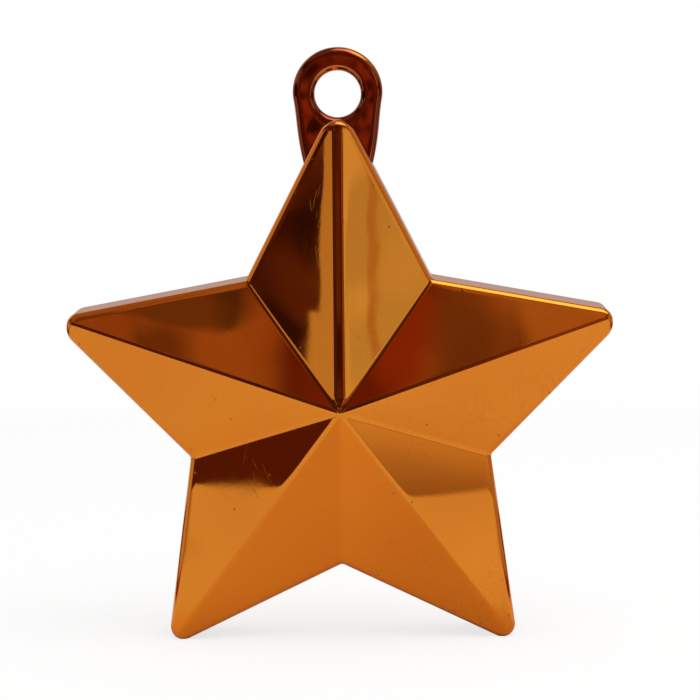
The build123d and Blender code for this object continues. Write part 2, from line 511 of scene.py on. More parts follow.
@dataclass(frozen=True)
class PlugFinish(Finish):
    """Dull soft plastic with a fine moulded grain and faint rub marks."""

    colour: Colour = (0.30, 0.10, 0.022)
    deep_colour: Colour = (0.22, 0.07, 0.014)
    clouds: Clouds = Clouds(260.0, 0.35, 0.7, 3.0)
    roughness: Triple = (0.42, 0.16, 0.08)
    grain_scale: float = 3200.0
    grain_height: float = 1.2e-5

    def inputs(self, graph: Graph, place: Socket) -> dict[str, Given]:
        """Works out the plastic's cloudy colour and grain.

        Args:
            graph: Graph of the material.
            place: Place on the object.

        Returns:
            Values and links of the surface's sockets.
        """
        clouds = self.clouds.mask(graph, place)
        grain = graph.noise(place, self.grain_scale)
        smooth, cloudy, grainy = self.roughness
        return {
            "Base Color": graph.mix(clouds, opaque(self.colour), opaque(self.deep_colour)),
            "Roughness": smooth + cloudy * clouds + grainy * grain,
            "Normal": graph.bump(grain, self.grain_height),
        }


@dataclass(frozen=True)
class SandFinish(Finish):
    """Dry sand: grains of two tones with a few dark ones, each standing proud of the next."""

    pale: Colour = (0.58, 0.44, 0.25)
    brown: Colour = (0.36, 0.23, 0.10)
    dark: Colour = (0.10, 0.07, 0.05)
    dark_share: Span = (0.92, 0.94)
    roughness: Span = (0.75, 0.2)
    grain_scale: float = 2200.0
    grain_height: float = 2.0e-4

    def inputs(self, graph: Graph, place: Socket) -> dict[str, Given]:
        """Works out the grains' tones and relief.

        Args:
            graph: Graph of the material.
            place: Place on the object.

        Returns:
            Values and links of the surface's sockets.
        """
        middle, tone = graph.cells(place, self.grain_scale)
        colour = graph.mix(tone, opaque(self.pale), opaque(self.brown))
        least, more = self.roughness
        return {
            "Base Color": graph.mix(tone.ramp(*self.dark_share), colour, opaque(self.dark)),
            "Roughness": least + more * tone,
            "Normal": graph.bump(1.0 - middle, self.grain_height),
        }


@dataclass(frozen=True)
class AdhesiveFinish(Finish):
    """Set cement, honey-clear and uneven along the bead."""

    clear: Colour = (0.72, 0.58, 0.36)
    cloudy: Colour = (0.80, 0.74, 0.62)
    cloud_scale: float = 900.0
    cloud_edge: Span = (0.4, 0.65)
    roughness: Span = (0.15, 0.3)
    relief: float = 5.0e-5

    def inputs(self, graph: Graph, place: Socket) -> dict[str, Given]:
        """Works out the bead's cloudy colour and relief.

        Args:
            graph: Graph of the material.
            place: Place on the object.

        Returns:
            Values and links of the surface's sockets.
        """
        clouds = graph.noise(place, self.cloud_scale, 3.0)
        least, more = self.roughness
        return {
            "Base Color": graph.mix(clouds.ramp(*self.cloud_edge), opaque(self.clear), opaque(self.cloudy)),
            "Roughness": least + more * clouds,
            "Normal": graph.bump(clouds, self.relief),
        }


# The star


@dataclass(frozen=True)
class StarFrame:
    """Where the star's axis and its flat back lie, in millimetres."""

    back_y: float
    centre_z: float

    @classmethod
    def from_solids(cls) -> StarFrame:
        """Reads the axis off the plug and the back face off the cover."""
        low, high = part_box("fill_plug")
        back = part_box("back_cover")[1].y
        return cls(back * MM_PER_M, (low.z + high.z) / 2.0 * MM_PER_M)

    def points(self, place: Array, forward: Array) -> Array:
        """Puts places at forward distances into the part's frame, cut flat where they would pass the floor.

        Args:
            place: Places.
            forward: Forward distances, of the same shape.

        Returns:
            Points, with three coordinates on the last axis.
        """
        height = np.maximum(self.centre_z + place.imag, 0.0)
        return np.stack([place.real, self.back_y - forward, height], axis=-1)


class Bands:
    """Rows of a closed grid, collected band by band."""

    def __init__(self, star: StarFrame) -> None:
        """Starts without rows."""
        self.star = star
        self.bands: list[Array] = []

    def add(
        self,
        place: Array,
        forward: Union[Array, float],
        wear: Union[Array, float] = 0.0,
        edge_shade: Union[Array, float] = 0.0,
    ) -> None:
        """Adds a band, over which single numbers, rows and columns are spread.

        Args:
            place: Places of its points.
            forward: Forward distances.
            wear: How much the points are rubbed, from 0 to 1.
            edge_shade: How much painted shade darkens them, from 0 to 1.
        """
        self.bands.append(np.stack(np.broadcast_arrays(place, forward, wear, edge_shade)))

    def grid(self, *poles: float) -> ClosedGrid:
        """Joins the bands to a grid.

        Args:
            poles: Forward distances at which the grid closes on the axis, or nothing where it wraps round.

        Returns:
            The grid.
        """
        place, forward, wear, edge_shade = np.concatenate(self.bands, axis=1)
        ends = self.star.points(np.zeros(len(poles), complex), np.array(poles, float))
        amounts = {WEAR: wear.real, EDGE_SHADE: edge_shade.real}
        return ClosedGrid(self.star.points(place, forward.real), amounts, ends)


@dataclass(frozen=True)
class StarOutline:
    """Outline of the star at its front rim: straight edges between rounded tips and rounded notches.

    The star is its own mirror image. The top arm and the lower halves of the two side arms are a little wider
    than the rest, and blunter.

    Attributes:
        arms: Number of arms.
        tip_radius: Radius at which the edges of a plain arm would meet.
        half_sizes: For the left half of each arm from the top one on, turning left, the radius at which its
            edge would meet the ridge, and the radius of its tip's arc.
        notch_radius: Radius at which the edges of two arms would meet.
        notch_round: Radius of a notch's arc.
        tip_steps: Number of points along a tip's arc.
        edge_steps: Number of points along an edge.
        edge_crowding: How much they crowd towards its ends.
        notch_steps: Number of points along a notch's arc.
    """

    arms: int = 5
    tip_radius: float = 57.0
    half_sizes: tuple[Span, ...] = ((58.6, 3.7), (58.6, 3.7), (57.0, 2.5), (57.0, 2.5), (57.0, 2.5))
    notch_radius: float = 30.0
    notch_round: float = 1.0
    tip_steps: int = 15
    edge_steps: int = 40
    edge_crowding: float = 0.75
    notch_steps: int = 8

    @property
    def half_pitch(self) -> float:
        """Angle between a tip and the next notch."""
        return math.pi / self.arms

    def half_angle(self, radius: float) -> float:
        """Angle between a ridge and the edges of its arm, for the radius at which the edges would meet."""
        rise = self.notch_radius * math.sin(self.half_pitch)
        return math.atan2(rise, radius - self.notch_radius * math.cos(self.half_pitch))

    @property
    def tip_half_angle(self) -> float:
        """Angle between a ridge and the edges of a plain arm."""
        return self.half_angle(self.tip_radius)

    @property
    def edge_distance(self) -> float:
        """Distance of a plain arm's edges from the star's centre."""
        return self.tip_radius * math.sin(self.tip_half_angle)

    def arm_axes(self) -> Array:
        """Directions of the arms as complex numbers, from the top one on, turning left."""
        return 1j * np.exp(2j * self.half_pitch * np.arange(self.arms))

    def half_arm(self, radius: float, tip_round: float) -> tuple[Array, Array]:
        """Walks from a tip's end to the middle of the next notch, for an arm along the real axis.

        The tip is an arc around a centre on the axis, the notch an arc around a centre on the line half way
        to the next arm, and the straight edge between them touches both.

        Args:
            radius: Radius at which the arm's edges would meet.
            tip_round: Radius of the tip's arc.

        Returns:
            Places and outward normals.
        """
        half_angle = self.half_angle(radius)
        edge_turn = RIGHT_ANGLE - half_angle
        tip_normals = np.exp(1j * np.linspace(0.0, edge_turn, self.tip_steps))
        notch_normals = np.exp(1j * np.linspace(edge_turn, self.half_pitch, self.notch_steps))
        tip_centre = radius - tip_round / math.sin(half_angle)
        notch_reach = self.notch_radius + self.notch_round / math.sin(half_angle + self.half_pitch)
        tip_arc = tip_centre + tip_round * tip_normals
        notch_arc = notch_reach * np.exp(1j * self.half_pitch) - self.notch_round * notch_normals
        along = eased(self.edge_steps, self.edge_crowding)[1:-1]
        edge = tip_arc[-1] + along * (notch_arc[0] - tip_arc[-1])
        places = np.concatenate([tip_arc, edge, notch_arc])
        normals = np.concatenate([tip_normals, np.full(len(edge), tip_normals[-1]), notch_normals])
        return places, normals

    def loop(self) -> tuple[Array, Array]:
        """Walks once round the star: the left half of each arm, and then the right half of the next arm.

        The right half of an arm is the mirror image of the left half of the arm across from it.

        Returns:
            Places and outward normals.
        """
        turns = self.arm_axes()[:, None]
        mirror = np.exp(2j * self.half_pitch)
        across = -1 - np.arange(self.arms)
        walked = []
        for halves in zip(*(self.half_arm(*sizes) for sizes in self.half_sizes)):
            left = np.stack(halves)
            right = mirror * np.conj(left[across, -2:0:-1])
            walked.append((turns * np.concatenate([left, right], axis=1)).ravel())
        return walked[0], walked[1]


@dataclass(frozen=True)
class FacetField:
    """Heights of the ten facets over the star's face, with soft ridges and valleys and faint waves."""

    outline: StarOutline
    peak_rise: float = 9.5
    ridge_flat: tuple[float, ...] = (0.45, 0.05, 0.1, 0.1, 0.05)
    ridge_softness: tuple[float, ...] = (0.40, 0.20, 0.24, 0.24, 0.20)
    ridge_order: tuple[float, ...] = (2.0, 4.0, 4.0, 4.0, 4.0)
    valley_softness: float = 0.45
    wave_height: float = 0.006
    wave_lengths: tuple[float, ...] = (27.0, 19.0, 13.5, 9.5)
    wave_start: float = 0.4
    wave_turn: float = 1.3
    wave_shift: float = 1.7

    @property
    def slope(self) -> float:
        """Rise of a facet for each millimetre from its edge."""
        return self.peak_rise / self.outline.edge_distance

    def waves(self, place: Array) -> Array:
        """Sum of long sine waves in turned directions, higher the longer they are.

        Args:
            place: Places on the star's face.

        Returns:
            Heights, of the same shape.
        """
        index = np.arange(len(self.wave_lengths)).reshape(-1, *([1] * place.ndim))
        lengths = np.array(self.wave_lengths).reshape(index.shape)
        across = (place[None] * np.exp(-1j * self.wave_turn * (index + self.wave_start))).real
        heights = self.wave_height * lengths / lengths.max()
        return (heights * np.sin(2.0 * np.pi * across / lengths + self.wave_shift * index)).sum(axis=0)

    def forward(self, place: Array) -> Array:
        """Forward distance of the facets.

        For each arm the distance from the centre towards the edge is a sin B + |b| cos B, where a lies along
        the ridge, b across it and B is the tip's half angle. |b| is replaced by the flat's half width f plus
        the n-th root of (|b| - f) to the power n plus the softness to the power n, with |b| - f no less than
        nothing and n the ridge's order. The two smallest among the arms on the place's side are joined by a
        smooth minimum, and the height falls with that distance at the facets' slope.

        Args:
            place: Places on the star's face.

        Returns:
            Forward distances, of the same shape.
        """
        angle = self.outline.tip_half_angle
        shape = (-1, *([1] * place.ndim))
        turned = place[None] / self.outline.arm_axes().reshape(shape)
        profile = (self.ridge_flat, self.ridge_softness, self.ridge_order)
        flat, softness, order = (np.array(sizes).reshape(shape) for sizes in profile)
        beyond = np.maximum(np.abs(turned.imag) - flat, 0.0)
        across = flat + (beyond**order + softness**order) ** (1.0 / order)
        reach = turned.real * math.sin(angle) + across * math.cos(angle)
        reach = np.sort(np.where(turned.real < 0.0, np.inf, reach), axis=0)
        overlap = np.maximum(self.valley_softness - (reach[1] - reach[0]), 0.0)
        joined = reach[0] - overlap**2 / (4.0 * self.valley_softness)
        return WALL_DEPTH + self.peak_rise - self.slope * joined + self.waves(place)


@dataclass
class Part:
    """A piece of the star, which builds its mesh and dresses it.

    Each kind of part has the name of its piece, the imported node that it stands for, and a material slot.
    """

    star: StarFrame

    name = ""
    node = ""
    slot = Slot.METALLISED_ORANGE

    def grid(self) -> ClosedGrid:
        """Works out the surface."""
        raise NotImplementedError

    def build(self) -> Object:
        """Makes the piece from its surface."""
        return write_piece(self.name, self.grid())

    def dress(self, piece: Object, material: Material) -> None:
        """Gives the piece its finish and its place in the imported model.

        Args:
            piece: The piece.
            material: Its finish.
        """
        piece.data.materials.append(material)
        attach(piece, "root")
        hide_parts(self.node)


@dataclass
class FrontShell(Part):
    """Hollow front of the star: facets, rounded rim, drafted side walls and the groove for the adhesive."""

    outline: StarOutline
    facets: FacetField
    seam_forward: float = 3.4
    rim_round: float = 0.85
    wall: float = 2.0
    groove_inset: float = 0.7
    groove_width: float = 0.6
    groove_depth: float = 0.5
    facet_rows: int = 54
    facet_crowding: float = 1.35
    wear_start: float = 0.965
    rim_rows: int = 12
    wall_rows: int = 12
    wall_crowding: float = 0.6
    short_rows: int = 5
    inner_rows: int = 12

    name = "star_shell"
    node = "front_shell"

    @property
    def setback(self) -> float:
        """Distance of the inner facets behind the outer ones, straight back."""
        return self.wall * math.hypot(1.0, self.facets.slope)

    def add_outside(self, bands: Bands) -> None:
        """Adds rows from the peak over the facets and the rim down to the rear edge.

        The facets run along rays from the peak to the start of the rim. On the rim the inset is r (1 - sin t)
        and the drop below the facets r (1 - cos t), with t from 0 to a right angle. The wall then flares out
        evenly, and ends in a small quarter round at the seam.

        Args:
            bands: Rows of the shell.
        """
        edge, normal = self.outline.loop()
        reach = (np.arange(1, self.facet_rows + 1) / self.facet_rows)[:, None] ** self.facet_crowding
        place = reach * (edge - self.rim_round * normal)
        wear = np.clip((reach - self.wear_start) / (1.0 - self.wear_start), 0.0, 1.0)
        bands.add(place, self.facets.forward(place), wear)
        drop, inset = quarter(self.rim_round, self.rim_rows)
        place = edge - inset[1:] * normal
        forward = self.facets.forward(place) - drop[1:]
        turn = np.linspace(0.0, RIGHT_ANGLE, self.rim_rows)[1:, None]
        bands.add(place, forward, np.cos(turn / 2.0))
        top = forward[-1]
        share = eased(self.wall_rows + 1, self.wall_crowding)[1:, None]
        level = top + share * (self.seam_forward + SEAM_ROUND - top)
        flare = DRAFT_SHARE * (top - level)
        bands.add(edge + flare * normal, level)
        drop, low = quarter(SEAM_ROUND, self.short_rows)
        bands.add(edge + (flare[-1] - drop[1:]) * normal, self.seam_forward + low[1:])

    def add_inside(self, bands: Bands) -> None:
        """Adds rows from the rear edge round the groove, up the inner wall and along the inner facets.

        Args:
            bands: Rows of the shell.
        """
        edge, normal = self.outline.loop()
        groove_end = self.groove_inset + self.groove_width
        groove_top = self.seam_forward + self.groove_depth
        steps = [
            (self.groove_inset, self.seam_forward),
            (self.groove_inset, groove_top),
            (groove_end, groove_top),
            (groove_end, self.seam_forward),
            (self.wall, self.seam_forward),
        ]
        inset, level = np.array(steps).T[..., None]
        bands.add(edge - inset * normal, level)
        inner_edge = edge - self.wall * normal
        ceiling = self.facets.forward(inner_edge) - self.setback
        climb = np.linspace(0.0, 1.0, self.short_rows)[1:, None]
        bands.add(inner_edge, self.seam_forward + climb * (ceiling - self.seam_forward))
        place = np.linspace(1.0, 0.0, self.inner_rows + 1)[1:-1, None] * inner_edge
        bands.add(place, self.facets.forward(place) - self.setback)

    def grid(self) -> ClosedGrid:
        """Joins both sides to one closed surface from the outer peak to the inner one.

        Returns:
            The surface.
        """
        bands = Bands(self.star)
        self.add_outside(bands)
        self.add_inside(bands)
        peak = self.facets.forward(np.zeros(1, complex))[0]
        return bands.grid(peak, peak - self.setback)


@dataclass
class BackCover(Part):
    """Star plate that closes the shell, with a thick border, a locating rib and a stepped filling hole."""

    outline: StarOutline
    border: float = 3.4
    plate: float = 2.0
    back_round: float = 0.6
    rib_inset: float = 2.1
    rib_wall: float = 1.2
    rib_height: float = 2.5
    hole_radius: float = 7.0
    recess_radius: float = 9.1
    recess_depth: float = 1.0
    recess_round: float = 0.25
    blend_rows: int = 14

    name = "cover_plate"
    node = "back_cover"

    def grid(self) -> ClosedGrid:
        """Works out the plate as one ring-shaped surface.

        A closed section runs from the filling hole over its recess, out across the back, round the edge, up
        the side, in over the border and the rib, and back along the plate's inside to the hole. The section's
        rows are circles near the hole and inset outlines near the edge, which follow the walls' draft, with
        straight blends between them.

        Returns:
            The surface.
        """
        edge, normal = self.outline.loop()
        recess = (self.recess_radius, self.recess_depth)
        hole = [(self.hole_radius, self.plate), (self.hole_radius, self.recess_depth), recess]
        out, low = quarter(self.recess_round)
        lip = np.hstack([self.recess_radius + out, low])
        radius, hole_level = np.concatenate([hole, lip]).T[..., None]
        rise, side = quarter(self.back_round)
        drop, low = quarter(SEAM_ROUND)
        rib_end = self.rib_inset + self.rib_wall
        rib_top = self.border + self.rib_height
        rib = [
            (self.rib_inset, self.border),
            (self.rib_inset, rib_top),
            (rib_end, rib_top),
            (rib_end, self.plate),
        ]
        back_edge = [(2.0 * self.back_round, 0.0), *np.hstack([side, rise])]
        front_edge = np.hstack([drop, self.border - low])
        inset, level = np.concatenate([back_edge, front_edge, rib]).T[..., None]
        inner = radius * np.exp(1j * np.angle(edge))
        outer = edge - (inset - DRAFT_SHARE * (WALL_DEPTH - level)) * normal
        across = np.linspace(0.0, 1.0, self.blend_rows)[1:-1, None]
        bands = Bands(self.star)
        bands.add(inner, hole_level)
        bands.add(inner[-1] + across * (outer[0] - inner[-1]), 0.0)
        bands.add(outer, level)
        bands.add(outer[-1] + across * (inner[0] - outer[-1]), self.plate)
        return bands.grid()


@dataclass
class HangEye(Part):
    """Flat eye tab on the back cover, with a round hole and rounded edges that carry painted shade, thinned
    at one spot on each edge to leave a painted highlight.
    """

    rise: float = 59.49
    hole_radius: float = 4.45
    hole_drop: float = 0.35
    head_radius: float = 8.6
    root_radius: float = 5.2
    root_drop: float = 19.0
    side_bulge: float = 0.5
    rear: float = 0.2
    front: float = 3.2
    edge_round: float = 1.2
    hole_round: float = 1.15
    head_steps: int = 96
    side_steps: int = 22
    root_steps: int = 24
    round_rows: int = 9
    face_rows: int = 7
    hole_wear: float = 0.5
    # Painted shade on the rounded edges: its share, the turn over which it rises, and for each edge the
    # angle, spread and share of the spot where it thins to leave a painted highlight.
    edge_shade: float = 0.96
    edge_shade_turn: float = math.pi / 9.0
    edge_highlight_spot: Triple = (0.95, 0.30, 0.8)
    hole_highlight_spot: Triple = (1.80, 0.60, 0.5)

    name = "hang_eye_tab"
    node = "back_cover"

    def edge_shade_share(self, bearing: Array, highlight_spot: Triple) -> Array:
        """Painted shade round an edge, thinned at one spot to leave a painted highlight.

        It is the shade's share times 1 less k exp(-((a - m) / s) squared), with a the bearing's angle.

        Args:
            bearing: Directions as complex numbers.
            highlight_spot: The highlight spot's angle m, its spread s and its share k.

        Returns:
            Amounts from 0 to 1.
        """
        middle, spread, share = highlight_spot
        return self.edge_shade * (1.0 - share * np.exp(-(((np.angle(bearing) - middle) / spread) ** 2)))

    def outline(self) -> tuple[Array, Array]:
        """Walks round the tab: head arc, side, root arc and side.

        The two arcs have their centres above each other. The sides are the straight lines that touch both,
        moved out by 16 times the bulge times s squared times (1 - s) squared, with s the share of a side.

        Returns:
            Places from the head's centre, and outward normals.
        """
        lean = math.asin((self.head_radius - self.root_radius) / self.root_drop)
        length = self.root_drop * math.cos(lean)
        head_normals = np.exp(1j * np.linspace(-lean, math.pi + lean, self.head_steps))
        root_normals = np.exp(1j * np.linspace(math.pi + lean, 2.0 * math.pi - lean, self.root_steps))
        head = self.head_radius * head_normals
        root = self.root_radius * root_normals - 1j * self.root_drop
        along = np.linspace(0.0, 1.0, self.side_steps)[1:-1]
        out = 16.0 * self.side_bulge * (along * (1.0 - along)) ** 2
        lead = 32.0 * self.side_bulge * along * (1.0 - along) * (1.0 - 2.0 * along) / length
        left = head[-1] + along * (root[0] - head[-1]) + out * head_normals[-1]
        right = root[-1] + along * (head[0] - root[-1]) + out * head_normals[0]
        left_normals, right_normals = (head_normals[end] * np.exp(-1j * lead) for end in (-1, 0))
        normals = np.concatenate([head_normals, left_normals, root_normals, right_normals])
        return np.concatenate([head, left, root, right]), normals

    def grid(self) -> ClosedGrid:
        """Works out the tab as one ring-shaped surface.

        The section runs up the hole's wall, round its front edge, across the front, round the outer edge,
        down the side, and back across the rear. Each edge is a quarter round, r (1 - cos t) one way and
        r (1 - sin t) the other. A column's place on the hole has the direction of its place on the outline.

        Returns:
            The surface.
        """
        outline, normal = self.outline()
        hole_centre = -1j * self.hole_drop
        bearing = (outline - hole_centre) / np.abs(outline - hole_centre)
        turn = np.linspace(0.0, RIGHT_ANGLE, self.round_rows)[:, None]
        # Painted shade rises from the face into each round over its first 20 degrees.
        shade_rise = np.minimum(turn / self.edge_shade_turn, 1.0)
        hole_out, hole_low = quarter(self.hole_round, self.round_rows)
        edge_low, edge_in = quarter(self.edge_round, self.round_rows)
        hole = hole_centre + (self.hole_radius + hole_out) * bearing + 1j * self.rise
        edge = outline - edge_in * normal + 1j * self.rise
        across = np.linspace(0.0, 1.0, self.face_rows)[1:-1, None]
        face = hole[-1] + across * (edge[0] - hole[-1])
        # Painted shade on the hole's edge and on the outer edge.
        hole_shade_amounts = shade_rise[::-1] * self.edge_shade_share(bearing, self.hole_highlight_spot)
        edge_shade_amounts = shade_rise * self.edge_shade_share(bearing, self.edge_highlight_spot)
        nothing = np.zeros((len(face), 1))
        # The last of each row is its painted edge shade.
        section = (
            (hole, hole_low, self.hole_wear * np.sin(turn), hole_shade_amounts),
            (face, nothing, nothing, nothing),
            (edge, edge_low, np.cos(turn), edge_shade_amounts),
        )
        bands = Bands(self.star)
        for place, low, wear, film in section:
            bands.add(place, self.front - low, wear, film)
        for place, low, wear, film in section[::-1]:
            bands.add(place[::-1], self.rear + low[::-1], wear[::-1], film[::-1])
        return bands.grid()


@dataclass
class FillPlug(Part):
    """Push-in plug: a dished head, a hollow stem and a snap ring behind the cover."""

    head_radius: float = 9.0
    head: float = 1.0
    head_round: float = 0.3
    dish_radius: float = 6.5
    dish_wall: float = 0.6
    dish: float = 0.3
    stem_radius: float = 6.9
    stem_end: float = 6.0
    stem_wall: float = 1.2
    snap_radius: float = 7.25
    snap_start: float = 2.1
    snap_length: float = 1.0
    dish_rows: int = 8
    columns: int = 120

    name = "filling_plug"
    node = "fill_plug"
    slot = Slot.PLUG_PLASTIC

    def profile(self) -> Array:
        """Radius and forward distance from the middle of the dish round to the middle of the stem's bore.

        The dish's wall falls by (1 + cos t) / 2 of its depth, with t from 0 to half a turn.

        Returns:
            Pairs of radius and forward distance.
        """
        bore = self.stem_radius - self.stem_wall
        fall = (1.0 + np.cos(np.linspace(0.0, math.pi, self.dish_rows)))[:, None] / 2.0
        dish_wall = np.hstack([self.dish_radius - self.dish_wall * fall, self.dish * fall])
        low, inset = quarter(self.head_round)
        rim = np.hstack([self.head_radius - inset, low])
        inner = [
            (self.head_radius, self.head),
            (self.stem_radius, self.head),
            (self.stem_radius, self.snap_start),
            (self.snap_radius, self.snap_start),
            (self.stem_radius, self.snap_start + self.snap_length),
            (self.stem_radius, self.stem_end),
            (bore, self.stem_end),
            (bore, self.head),
            (bore / 2.0, self.head),
        ]
        return np.concatenate([[(self.dish_radius / 3.0, self.dish)], dish_wall, rim, inner])

    def grid(self) -> ClosedGrid:
        """Turns the profile round the star's axis.

        Returns:
            The surface.
        """
        radius, forward = self.profile().T[..., None]
        bands = Bands(self.star)
        bands.add(radius * np.exp(2j * np.pi * np.arange(self.columns) / self.columns), forward)
        return bands.grid(self.dish, self.head)


@dataclass(frozen=True)
class HiddenSolids:
    """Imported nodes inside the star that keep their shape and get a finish."""

    sand: SandFinish = SandFinish()
    adhesive: AdhesiveFinish = AdhesiveFinish()

    def dress(self, nodes: Mapping[str, Object]) -> None:
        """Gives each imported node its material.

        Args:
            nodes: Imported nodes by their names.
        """
        dressed = (
            ("sand_ballast", self.sand.material("dry_sand"), Slot.DRY_SAND),
            ("seam_adhesive", self.adhesive.material("set_cement"), Slot.CLEAR_ADHESIVE),
        )
        for name, material, slot in dressed:
            nodes[name].data.materials.clear()
            nodes[name].data.materials.append(material)
            log.info("dressed %s", name)


# Studio


class Across(Enum):
    """Way in which a card's tone changes."""

    AZIMUTH = 0
    ELEVATION = 1


@dataclass(frozen=True)
class Card:
    """Studio card that only reflections see, bent round the object.

    Attributes:
        name: What the card is.
        azimuth: Its two sides in degrees, 0 in front of the star and growing to its right.
        elevation: Its lower and upper edge in degrees above the horizon.
        start: Colour at the first side or the lower edge.
        end: Colour at the second side or the upper edge.
        across: Which way the colour changes.
        soft: Share of the card over which each edge fades out.
        lean: Degrees that the card shifts to the right for each degree of height.
        mottle: How far its tone wanders up and down in soft patches.
        patches: Number of those patches in a metre.
        distance: Distance from the middle of the object, in metres.
    """

    name: str
    azimuth: Span
    elevation: Span
    start: Colour
    end: Colour
    across: Across = Across.ELEVATION
    soft: float = 0.12
    lean: float = 0.0
    mottle: float = 0.0
    patches: float = 13.0
    distance: float = 1.2


CARDS = (
    Card("room", (-105, 105), (-30, 52), (0.05, 0.014, 0.008), (0.16, 0.07, 0.04), Across.AZIMUTH, soft=0.08,
         mottle=0.5, distance=1.5),
    Card("upper_front", (-55, 55), (28, 52), (0.30, 0.14, 0.09), (0.60, 0.42, 0.32), mottle=0.38,
         distance=1.4),
    Card("middle_front", (-20, 10), (-12, 14), (0.12, 0.03, 0.018), (0.10, 0.022, 0.012), soft=0.2,
         mottle=0.4, distance=1.4),
    Card("left_wall", (-115, -46), (12, 33), (0.80, 0.64, 0.45), (0.70, 0.54, 0.38), mottle=0.2,
         distance=1.25),
    Card("left_far", (-178, -92), (-16, 12), (0.66, 0.46, 0.30), (0.60, 0.40, 0.26), distance=1.35),
    Card("right_far", (92, 178), (-16, 12), (0.66, 0.46, 0.30), (0.60, 0.40, 0.26), distance=1.35),
    Card("beam_left", (-16.8, -11.6), (32.7, 35), (0.17, 0.10, 0.07), (0.16, 0.09, 0.06), mottle=0.3,
         distance=1.3),
    Card("shelf_left", (-21, -15.6), (29.5, 33), (0.42, 0.21, 0.15), (0.40, 0.20, 0.14), distance=1.32),
    Card("shelf_right", (12.8, 19), (30, 36), (0.52, 0.31, 0.21), (0.60, 0.39, 0.28), distance=1.32),
    Card("red_right", (2, 11), (29, 38), (0.27, 0.06, 0.03), (0.24, 0.05, 0.02), soft=0.2, lean=0.35,
         mottle=0.3, distance=1.35),
    Card("red_left", (-12.5, -3), (29, 38), (0.25, 0.06, 0.03), (0.22, 0.05, 0.02), soft=0.2, lean=-0.35,
         mottle=0.3, distance=1.35),
    Card("low_left", (-60, -24), (-7.5, -0.5), (0.12, 0.035, 0.02), (0.14, 0.04, 0.02), soft=0.03,
         distance=0.35),
    Card("low_right", (24, 60), (-8, -4), (0.44, 0.32, 0.27), (1.00, 0.92, 0.78), soft=0.08, mottle=0.15,
         distance=0.35),
    Card("side_left", (-100, -52.5), (-15.4, 9), (0.80, 0.72, 0.62), (0.70, 0.56, 0.42), soft=0.05,
         distance=0.2),
    Card("side_right", (52.5, 100), (-15.4, 9), (0.66, 0.52, 0.42), (0.60, 0.44, 0.34), soft=0.05,
         distance=0.2),
    Card("near_front", (-4, 3), (-3, 5), (0.21, 0.048, 0.04), (0.12, 0.026, 0.02), soft=0.2, mottle=0.75,
         patches=90.0, distance=1.3),
    Card("left_strip", (-35.66, -29), (6, 19.5), (0.80, 0.80, 0.80), (0.70, 0.68, 0.66), soft=0.02),
    Card("left_corner", (-36.12, -30), (6, 12.9), (0.80, 0.80, 0.80), (0.78, 0.76, 0.74), soft=0.03),
    Card("warm_wall", (17, 27), (2, 22), (0.44, 0.14, 0.08), (0.46, 0.15, 0.09), distance=1.3),
    Card("right_window", (27, 42), (6, 22), (0.92, 1.08, 1.20), (0.86, 0.96, 1.00), mottle=0.14),
    Card("right_side", (44, 96), (-16, 30), (0.36, 0.08, 0.04), (0.34, 0.08, 0.04), distance=1.35),
    Card("right_upper", (43.5, 112), (13, 45), (0.66, 0.46, 0.30), (0.76, 0.56, 0.40), distance=1.3),
    Card("right_fold", (34.55, 35.1), (9, 20), (0.66, 0.52, 0.46), (0.70, 0.58, 0.50), soft=0.3, lean=0.03,
         distance=1.19),
    Card("right_low", (30, 47), (-14, 5), (0.94, 0.90, 0.84), (0.86, 0.80, 0.72), mottle=0.33, distance=1.3),
    Card("ceiling_left", (-178, -2), (46, 87), (0.42, 0.25, 0.18), (0.50, 0.36, 0.28)),
    Card("ceiling_right", (-2, 178), (46, 87), (0.50, 0.32, 0.21), (0.62, 0.44, 0.30)),
    Card("back_left", (-235, -120), (-4, 30), (0.49, 0.37, 0.33), (0.60, 0.46, 0.40)),
    Card("back_right", (118, 160), (-4, 50), (0.22, 0.18, 0.20), (0.45, 0.40, 0.40)),
)


